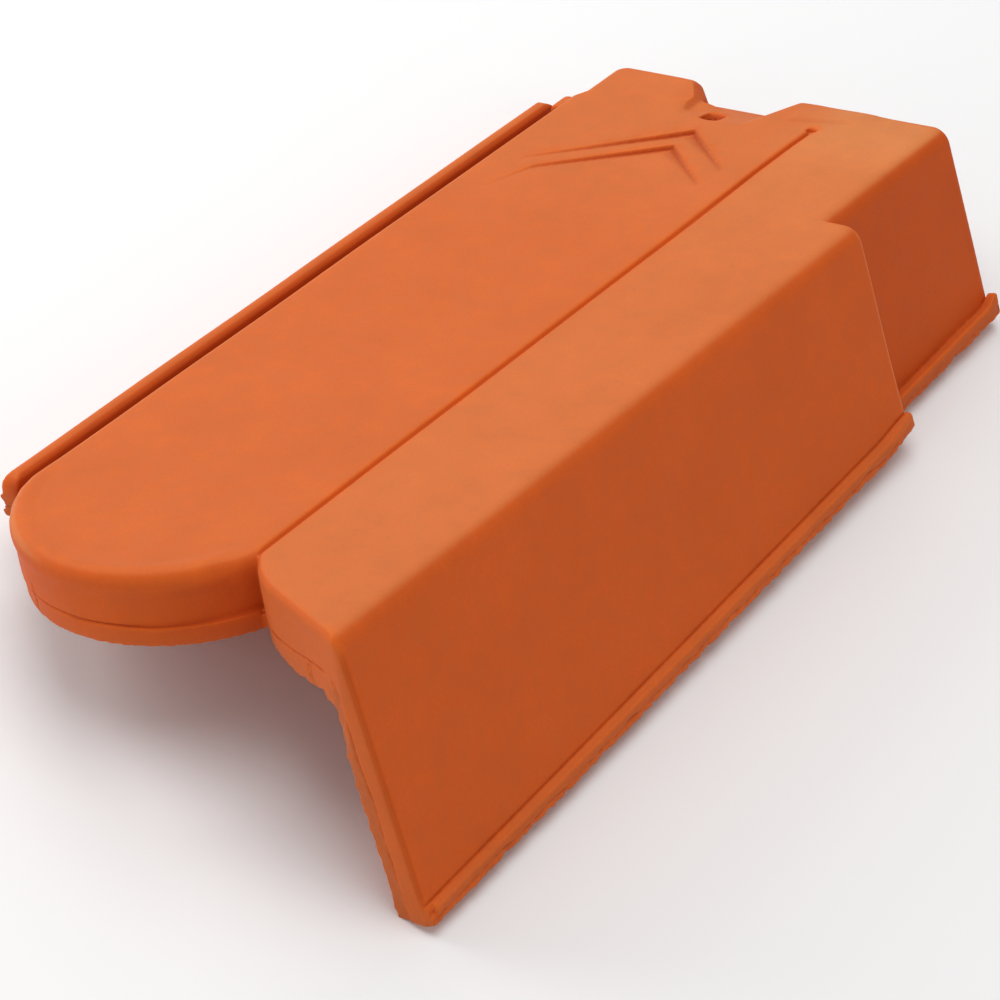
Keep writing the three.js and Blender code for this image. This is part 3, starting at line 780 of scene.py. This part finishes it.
# Painted highlights along the step's edge, the plate's left rim and the crown of the lip
step_rim = fade(np.abs(y - STEP_Y + 1), (3.5, 1.5)) * fade(normal_y, (0.15, 0.4)) * (x > 50)
left_rim = LEFT_RIM_HIGHLIGHT * fade(normal_x, (-0.1, -0.4)) * fade(normal_z, (0.2, 0.5))
left_rim *= (z > TOP_FROM_Z) * (x < -20)
lip_crown = fade(past_root, (0.03, 0.2)) * on_right
lip_crown *= fade(above_foot, (5.5, 7.5)) * fade(above_foot, (13, 11))
painted_sheen_highlights = [top_painted_sheen * faces_up, front_painted_sheen, step_rim, left_rim, LIP_HIGHLIGHT * lip_crown]
painted_sheen_highlight = np.max(painted_sheen_highlights, axis=0)
print("mean bloom:", round(float(painted_sheen_highlight.mean()), 3))

# %% Painted shade in hollows and on faces turned from the light: by shape, and in places that are named one by one
PAINTED_SHADE_SPAN = (0.05, 0.37)
PAINTED_SHADE_BY_SHAPE = 0.8
GROOVE_PALER = 0.4
CREASE_DARK = 0.25
CHANNEL_DARK = 0.9
VALLEY_DARK = 0.6
RECESS_DARK = 0.3
SCARP_DARK = 0.95
HOLE_DARK = 0.9
FLANK_DARK = 0.45
CORNER_DARK = 0.5

# Painted shade: concave places by shape, the tab's crease, the side lock's channel, the nose's valley,
# the recess wall, the chevrons' steep edges, the nail hole, the dish's right-facing flank and the
# wall's front corner
in_groove = (np.abs(x + 1) < 5) & (z > -4) & (y < 425)
by_shape = PAINTED_SHADE_BY_SHAPE * fade(-proud, PAINTED_SHADE_SPAN) * (1 - lip_crown)
crease = bell(past_crease + 1, 2) * faces_up * fade(x, (-22, -16)) * fade(x, (14, 6))
in_channel = fade(x, (-138, -141)) * fade(x, (-158, -155.5)) * fade(z, (-8.5, -12))
in_valley = on_nose * fade(nose_angle, (280, 337)) * fade(z, (-4, -9))
in_recess = fade(y, (STEP_Y - 1, STEP_Y + 1)) * fade(normal_x, (0.4, 0.8))
in_hole = fade(z, (-2, -5)) * (hole_distance < 8)
in_flank = fade(normal_x, (0.2, 0.5)) * fade(from_dish, (1.2, 1))
corner_band = at_corner * fade(np.minimum(normal_x, -normal_y), (0.15, 0.45))
painted_shades = [
    by_shape * (1 - GROOVE_PALER * in_groove),
    CREASE_DARK * crease,
    CHANNEL_DARK * in_channel,
    VALLEY_DARK * in_valley,
    RECESS_DARK * in_recess,
    SCARP_DARK * scarp,
    HOLE_DARK * in_hole,
    FLANK_DARK * in_flank,
    CORNER_DARK * corner_band,
]
painted_shade = np.max(painted_shades, axis=0)
print("mean hollow:", round(float(painted_shade.mean()), 3))

# %% Torn rims and a painted reflection on the lip's outer face, and all four numbers kept as point attributes
LIP_PAINTED_REFLECTION = 0.8
HALF_FOOT_GREY = 0.8
SKIRT_GREY = 0.5
FOOT_GREY = (4, 2)
EDGE_HIGHLIGHT_SPAN = (0.02, 0.12)
EDGE_HIGHLIGHT_STRENGTH = 0.6
PAINTED_SHADE_STRENGTH = 0.75
TORN_STRENGTH = 0.4

# Painted reflection: the lip's outer face is paler and greyer
lip_painted_reflection = LIP_PAINTED_REFLECTION * fade(past_root, (0.55, 0.8)) * on_right
lip_painted_reflection *= fade(above_foot, (2.5, 4)) * fade(above_foot, (8, 6))
foot_grey = fade(above_foot, FOOT_GREY) * at_foot
tail_rims = [HALF_FOOT_GREY * at_half_foot, SKIRT_GREY * near_foot, burr]
rims = np.max([lip_painted_reflection, torn_band, inner_edge, foot_grey, *tail_rims], axis=0)
paint = {
    # Painted sheen and painted highlights
    "painted_sheen_highlight": painted_sheen_highlight,
    # Painted highlight: convex rounds are lighter and more orange
    "edge": EDGE_HIGHLIGHT_STRENGTH * fade(proud, EDGE_HIGHLIGHT_SPAN),
    # Painted shade
    "painted_shade": PAINTED_SHADE_STRENGTH * painted_shade,
    "torn": TORN_STRENGTH * rims,
# Partly torn clay, partly the lip's painted reflection
}
for name, values in paint.items():
    attribute = tile.data.attributes.new(name, "FLOAT", "POINT")
    attribute.data.foreach_set("value", values.astype(np.float32))
    print(name, "is", round(100 * float(values.mean()), 1), "% over the whole tile")

# %% [markdown]
# ## Fewer triangles where nothing happens
#
# The even net spends as many faces on the flat plate as on the torn rims. Decimate collapses the
# edges that matter least until a set share is left, so the flat parts become large faces and
# the rims keep theirs. The finished piece is then put back on the floor, in metres.

# %% Decimate, and lay the tile down again
TRIANGLES = 190_000

triangles = sum(len(p.vertices) - 2 for p in tile.data.polygons)
thin = tile.modifiers.new("fewer triangles", "DECIMATE")
thin.ratio = TRIANGLES / triangles
apply_modifiers(tile)
tile.data.transform(to_floor)
tile.data.shade_smooth()
left = sum(len(p.vertices) - 2 for p in tile.data.polygons)
print("finished tile:", left, "triangles of", triangles)

# %% [markdown]
# ## Unglazed fired clay
#
# Roofing clay is pressed, dried and fired without a glaze. Iron in the clay turns it orange red.
# To the eye it is matte with a slight dusty sheen: clouds of lighter and deeper colour a few
# centimetres across, a finer mottling, and a sandy grain. A scanned picture could give all this,
# but noise on Object coordinates needs no unwrapping and stays sharp from any distance. Every
# scale below is a real size in millimetres, except the grain: real grit is about 0.3 mm, too fine
# to show here, so it is drawn at 1.2 mm.

# %% Colours from hex values, and one function that adds a node
def linear(hex_value):
    channels = [int(hex_value[i:i + 2], 16) / 255 for i in (1, 3, 5)]
    return [c / 12.92 if c <= 0.04045 else ((c + 0.055) / 1.055) ** 2.4 for c in channels] + [1.0]


def add_node(tree, kind, links=None, **settings):
    node = tree.nodes.new(kind)
    for name, value in settings.items():
        if name in node.inputs:
            node.inputs[name].default_value = value
        else:
            setattr(node, name, value)
    for socket, source in (links or {}).items():
        tree.links.new(source, node.inputs[socket])
    return node


# %% Colour: painted sheen on the pressed top, painted highlights on edges, painted shade, greyer torn rims
BODY = "#cf581d"
# Over the body colour: painted sheen and highlights, painted highlight on edges, painted shade, and
# greyer torn clay with the lip's painted reflection
LAYERS = [("painted_sheen_highlight", "#d47e48"), ("edge", "#dc641e"), ("painted_shade", "#9e2c02"), ("torn", "#ad6139")]
# A Mix node has sockets for every kind of value, and these are its colour ones
MIX_UNDER, MIX_OVER, MIX_RESULT = 6, 7, 2

fired_clay = bpy.data.materials.new("unglazed_fired_clay")
fired_clay.use_nodes = True
tree = fired_clay.node_tree
tree.nodes.clear()
shares = {}
colour = None
for name, hex_value in LAYERS:
    shares[name] = add_node(tree, "ShaderNodeAttribute", attribute_name=name).outputs["Fac"]
    mix = add_node(tree, "ShaderNodeMix", {"Factor": shares[name]}, data_type="RGBA")
    mix.inputs[MIX_OVER].default_value = linear(hex_value)
    if colour is None:
        mix.inputs[MIX_UNDER].default_value = linear(BODY)
    else:
        tree.links.new(colour, mix.inputs[MIX_UNDER])
    colour = mix.outputs[MIX_RESULT]
print("colour nodes:", len(tree.nodes))

# %% Clouds, mottling and grain that lighten and darken the colour, and pits for torn clay
# Name, size in millimetres and detail of each pattern
PATTERNS = [("clouds", 45, 3.0), ("mottling", 10, 4.0), ("grain", 1.2, 3.0), ("pits", 3, 3.0)]
# By which share a pattern lightens and darkens the colour
LIGHTER_DARKER = [("clouds", 0.04), ("mottling", 0.035), ("grain", 0.03)]
NOISE_SPAN = {"From Min": 0.3, "From Max": 0.7}

place = add_node(tree, "ShaderNodeTexCoord").outputs["Object"]
patterns = {}
for name, size_mm, detail in PATTERNS:
    scale = 1 / (size_mm * MM)
    pattern = add_node(tree, "ShaderNodeTexNoise", {"Vector": place}, Scale=scale, Detail=detail)
    patterns[name] = pattern.outputs["Fac"]
for name, spread in LIGHTER_DARKER:
    to_span = {"To Min": 1 - spread, "To Max": 1 + spread}
    value = add_node(tree, "ShaderNodeMapRange", {"Value": patterns[name]}, **NOISE_SPAN, **to_span)
    links = {"Color": colour, "Value": value.outputs["Result"]}
    colour = add_node(tree, "ShaderNodeHueSaturation", links).outputs["Color"]
print("pattern nodes:", len(tree.nodes))

# %% Grain and torn pits as bump, and the finished shader
GRAIN_HIGH_MM, GRAIN_BUMP = 0.12, 0.6
# The torn number is at most 0.4, so the pits are at most half a millimetre deep
TORN_HIGH_MM, TORN_BUMP = 1.25, 0.8
ROUGHNESS_SPAN = {"To Min": 0.6, "To Max": 0.72}
CLAY_IOR = 1.5
CLAY_SPECULAR = 0.3
SHEEN_TINT = "#ffccaa"

fine = add_node(
    tree, "ShaderNodeBump", {"Height": patterns["grain"]},
    Strength=GRAIN_BUMP, Distance=GRAIN_HIGH_MM * MM,
)
pits = add_node(
    tree, "ShaderNodeMath", {0: patterns["pits"], 1: shares["torn"]}, operation="MULTIPLY",
)
rough = add_node(
    tree, "ShaderNodeBump", {"Height": pits.outputs[0], "Normal": fine.outputs["Normal"]},
    Strength=TORN_BUMP, Distance=TORN_HIGH_MM * MM,
)
roughness = add_node(
    tree, "ShaderNodeMapRange", {"Value": patterns["mottling"]}, **NOISE_SPAN, **ROUGHNESS_SPAN,
)
shader_links = {
    "Base Color": colour,
    "Roughness": roughness.outputs["Result"],
    "Normal": rough.outputs["Normal"],
}
shader = add_node(tree, "ShaderNodeBsdfPrincipled", shader_links, IOR=CLAY_IOR)
shader.inputs["Specular IOR Level"].default_value = CLAY_SPECULAR
shader.inputs["Specular Tint"].default_value = linear(SHEEN_TINT)
add_node(tree, "ShaderNodeOutputMaterial", {"Surface": shader.outputs["BSDF"]})
tile.data.materials.clear()
tile.data.materials.append(fired_clay)
print("fired clay:", len(tree.nodes), "nodes")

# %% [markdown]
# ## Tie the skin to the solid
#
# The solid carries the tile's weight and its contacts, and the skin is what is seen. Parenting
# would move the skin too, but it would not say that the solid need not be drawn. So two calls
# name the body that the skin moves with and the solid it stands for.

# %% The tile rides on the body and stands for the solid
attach(tile, "root")
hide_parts("verge_tile")
print(tile.name, "stands for verge_tile")

# %% [markdown]
# ## A pale floor
#
# A plain floor catches the soft shadow that shows how the tile stands. One large square is enough.
# It is painted board, matte and nearly white, and it is no part of the tile.

# %% Floor of painted board
FLOOR_HALF = 6
FLOOR_ROUGHNESS = 0.9

bm = bmesh.new()
bmesh.ops.create_grid(bm, x_segments=1, y_segments=1, size=FLOOR_HALF)
floor_mesh = bpy.data.meshes.new("floor")
bm.to_mesh(floor_mesh)
bm.free()
floor = bpy.data.objects.new("floor", floor_mesh)
scene.collection.objects.link(floor)
pale = bpy.data.materials.new("matte_painted_board")
pale.use_nodes = True
pale_shader = pale.node_tree.nodes["Principled BSDF"]
pale_shader.inputs["Base Color"].default_value = linear("#f7f7f7")
pale_shader.inputs["Roughness"].default_value = FLOOR_ROUGHNESS
floor_mesh.materials.append(pale)
print("floor:", 2 * FLOOR_HALF, "m wide")

# %% [markdown]
# ## Soft studio light
#
# The photo has soft light from above and from the left, and a dim right side. Large round area
# lights give such shadows without a hard edge, and an even white world fills the rest. A single
# sun would draw every small wave of the clay as a hard shadow.

# %% Five softboxes and a white world
# Name, place and width in metres, and watts
SOFTBOXES = [
    ("top_softbox", (0.1, 0.0, 2.4), 2.0, 24),
    ("left_softbox", (-1.9, -0.4, 1.0), 1.4, 17.5),
    ("rear_softbox", (-1.2, 1.0, 1.7), 1.4, 11),
    ("front_fill", (0.0, -2.0, 0.8), 1.4, 5.3),
    ("right_fill", (1.9, 0.1, 0.9), 1.4, 5.2),
]
LIGHTS_AIM = Vector((0, 0, 0.05))
WORLD_STRENGTH = 0.31

for name, position, width, watts in SOFTBOXES:
    lamp = bpy.data.lights.new(name, "AREA")
    lamp.shape = "DISK"
    lamp.size = width
    lamp.energy = watts
    holder = bpy.data.objects.new(name, lamp)
    holder.location = position
    holder.rotation_euler = (LIGHTS_AIM - Vector(position)).to_track_quat("-Z", "Y").to_euler()
    scene.collection.objects.link(holder)
world = bpy.data.worlds.new("studio")
world.use_nodes = True
world.node_tree.nodes["Background"].inputs["Color"].default_value = (1, 1, 1, 1)
world.node_tree.nodes["Background"].inputs["Strength"].default_value = WORLD_STRENGTH
scene.world = world
scene.view_settings.view_transform = "Standard"
print("lights:", len(SOFTBOXES))

# %% [markdown]
# ## Camera
#
# The photo was taken from the tile's front right and from above, with a long lens held slightly
# askew. The angles, the distance and the lens come from fitting the tile's edges to the photo. The
# camera looks along one line to a point on the tile, and a turn about that line gives the roll.

# %% Camera at the photo's angle
AIM = Vector((0.0411, -0.0679, 0.060))
DISTANCE = 2.0008
AZIMUTH = math.radians(33.671)
ELEVATION = math.radians(42.628)
ROLL = math.radians(4.191)
LENS_MM = 164.11
SENSOR_MM = 36
CLIP_END = 50

back = Vector((
    math.sin(AZIMUTH) * math.cos(ELEVATION),
    -math.cos(AZIMUTH) * math.cos(ELEVATION),
    math.sin(ELEVATION),
))
camera_data = bpy.data.cameras.new("photo_camera")
camera_data.lens = LENS_MM
camera_data.sensor_width = SENSOR_MM
camera_data.clip_end = CLIP_END
camera = bpy.data.objects.new("photo_camera", camera_data)
camera.location = AIM + DISTANCE * back
look = (-back).to_track_quat("-Z", "Y").to_matrix()
camera.rotation_euler = (look @ Matrix.Rotation(ROLL, 3, "Z")).to_euler()
scene.collection.objects.link(camera)
scene.camera = camera
print("camera at", [round(c, 3) for c in camera.location])
